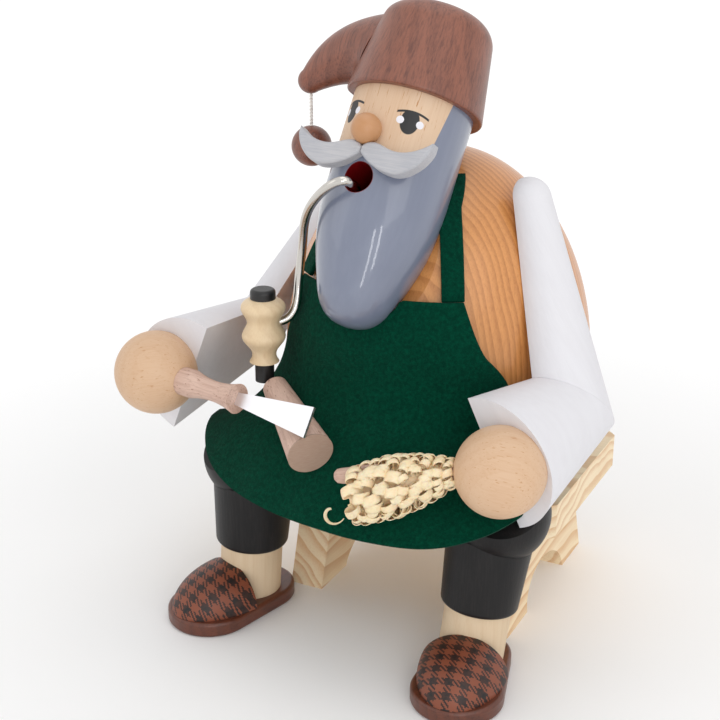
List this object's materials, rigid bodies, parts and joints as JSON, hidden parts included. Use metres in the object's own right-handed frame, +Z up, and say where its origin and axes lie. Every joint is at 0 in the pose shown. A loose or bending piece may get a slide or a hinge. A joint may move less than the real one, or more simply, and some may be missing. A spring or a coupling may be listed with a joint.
{
  "type": "incense smoker figure",
  "caption": "Turned wooden seated carver on a stool: the upper body lifts off a tray for an incense cone, whose smoke leaves by the open mouth.",
  "frame": {"origin": "on the floor, under the middle of the whole figure's box", "axes": "+Z up, -Y the way the figure faces, +X its left side"},
  "size_m": [0.121, 0.1122, 0.1639],
  "materials": {
    "stained_cap": "brown stain under satin lacquer",
    "lacquered_torso": "clear lacquer over ringed softwood",
    "painted_head": "natural face, gloss blue-grey beard",
    "natural_beech": "smooth sanded beech",
    "grey_moustache": "brushed grey paint",
    "white_sleeve": "matte white paint",
    "black_trouser": "satin black stain",
    "pale_shin": "bare turned wood",
    "slipper_brown": "brown stain",
    "slipper_check": "brown and black check",
    "pine": "clear matte pine",
    "green_felt": "wool felt",
    "pink_beech": "bare steamed beech",
    "blade_metal": "bright satin",
    "stem_wire": "drawn wire",
    "pale_bowl": "bare turned wood",
    "black_fitting": "satin black stain",
    "shaved_chips": "thin shaved curls",
    "tray_metal": "pressed sheet",
    "tack_metal": "plain",
    "bobble_thread": "twisted thread",
    "dowel_wood": "plain"
  },
  "bodies": {
    "base": {"stool_seat": "pine", "stool_leg_left": "pine", "stool_leg_right": "pine", "stool_dowels": "dowel_wood", "hip_block": "black_trouser", "incense_tray": "tray_metal", "tray_tack": "tack_metal", "hip_dowels": "dowel_wood", "knee_dowels": "dowel_wood", "thigh_left": "black_trouser", "thigh_right": "black_trouser", "trouser_leg_left": "black_trouser", "trouser_leg_right": "black_trouser", "shin_left": "pale_shin", "shin_right": "pale_shin", "slipper_sole_left": "slipper_brown", "slipper_sole_right": "slipper_brown", "slipper_toe_left": "slipper_check", "slipper_toe_right": "slipper_check"},
    "upper_figure": {"cap_body": "stained_cap", "cap_tip": "stained_cap", "torso": "lacquered_torso", "head": "painted_head", "nose": "natural_beech", "hand_left": "natural_beech", "hand_right": "natural_beech", "moustache_left": "grey_moustache", "moustache_right": "grey_moustache", "upper_arm_left": "white_sleeve", "upper_arm_right": "white_sleeve", "forearm_left": "white_sleeve", "forearm_right": "white_sleeve", "apron": "green_felt", "apron_straps": "green_felt", "chisel_handle": "pink_beech", "blank": "pink_beech", "chisel_blade": "blade_metal", "pipe_stem": "stem_wire", "pipe_bowl": "pale_bowl", "pipe_lid": "black_fitting", "pipe_ferrule": "black_fitting", "chip_tree": "shaved_chips", "neck_dowel": "dowel_wood", "shoulder_dowels": "dowel_wood", "elbow_dowels": "dowel_wood", "wrist_dowels": "dowel_wood"},
    "bobble": {"bobble": "stained_cap", "thread": "bobble_thread"}
  },
  "joints": [
    {"name": "upper_lift", "type": "slide", "parent": "base", "child": "upper_figure", "axis": [0, 0, 1], "range_m": [0, 0.1]},
    {"name": "bobble_swing", "type": "hinge", "parent": "upper_figure", "child": "bobble", "pos_m": [-0.02908, -0.00136, 0.13996], "axis": [0, 1, 0], "range_deg": [-12, 12]}
  ]
}
